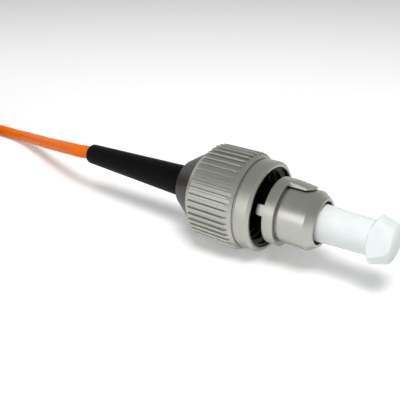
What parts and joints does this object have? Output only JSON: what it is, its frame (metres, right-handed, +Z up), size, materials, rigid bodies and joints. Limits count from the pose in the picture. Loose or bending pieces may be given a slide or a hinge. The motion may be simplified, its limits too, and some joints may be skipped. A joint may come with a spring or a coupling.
{
  "type": "fc fibre connector",
  "caption": "Screw-coupled simplex fibre connector with a knurled floating nut, a keyed barrel, a sprung ferrule, a crimped boot and cable, and a dust cap",
  "frame": {"origin": "middle of the plug's length on the surface it lies on, under the plug's axis", "axes": "+X along the plug's axis towards the dust cap, +Z up, +Y to the side away from the rear tab"},
  "size_m": [0.1053, 0.0184, 0.01],
  "materials": {
    "nickel_plate": "satin nickel plate on turned brass",
    "bright_steel": "bright stainless steel",
    "bare_brass": "turned brass with a thin nickel flash",
    "zirconia": "polished zirconia ceramic",
    "silica": "bare optical fibre",
    "white_plastic": "white tight buffer and guide tube",
    "aramid": "yellow strength yarn",
    "crimp_alloy": "bright crimped sleeve",
    "orange_jacket": "smooth orange cable jacket",
    "black_rubber": "smooth black rubber",
    "clear_cap": "translucent natural polyethylene",
    "black_strap": "black hook-and-loop strap"
  },
  "bodies": {
    "frame": {"barrel": "nickel_plate", "key_ring": "nickel_plate", "backbone": "bare_brass", "stop_ring": "nickel_plate", "inner_tube": "white_plastic", "aramid_yarn": "aramid", "crimp_sleeve": "crimp_alloy", "jacket_end": "orange_jacket", "boot": "black_rubber", "cable": "orange_jacket", "cable_hank": "orange_jacket", "cable_tie": "black_strap"},
    "washer": {"thrust_washer": "bright_steel"},
    "nut": {"coupling_nut": "nickel_plate"},
    "ferrule": {"ferrule": "zirconia", "ferrule_flange": "bright_steel", "spring_washer": "bright_steel", "spring": "bright_steel", "optical_fibre": "silica", "tight_buffer": "white_plastic"},
    "cap": {"dust_cap": "clear_cap"}
  },
  "joints": [
    {"name": "nut_float", "type": "slide", "parent": "frame", "child": "washer", "axis": [1, 0, 0], "range_m": [0, 0.002]},
    {"name": "nut_spin", "type": "hinge", "parent": "washer", "child": "nut", "pos_m": [0.00165, 0, 0.005], "axis": [1, 0, 0], "continuous": true},
    {"name": "ferrule_spring", "type": "slide", "parent": "frame", "child": "ferrule", "axis": [1, 0, 0], "range_m": [-0.0008, 0], "stiffness_N_per_m": 2000, "deforming": ["spring"]},
    {"name": "cap_pull", "type": "slide", "parent": "ferrule", "child": "cap", "axis": [1, 0, 0], "range_m": [0, 0.012]}
  ]
}
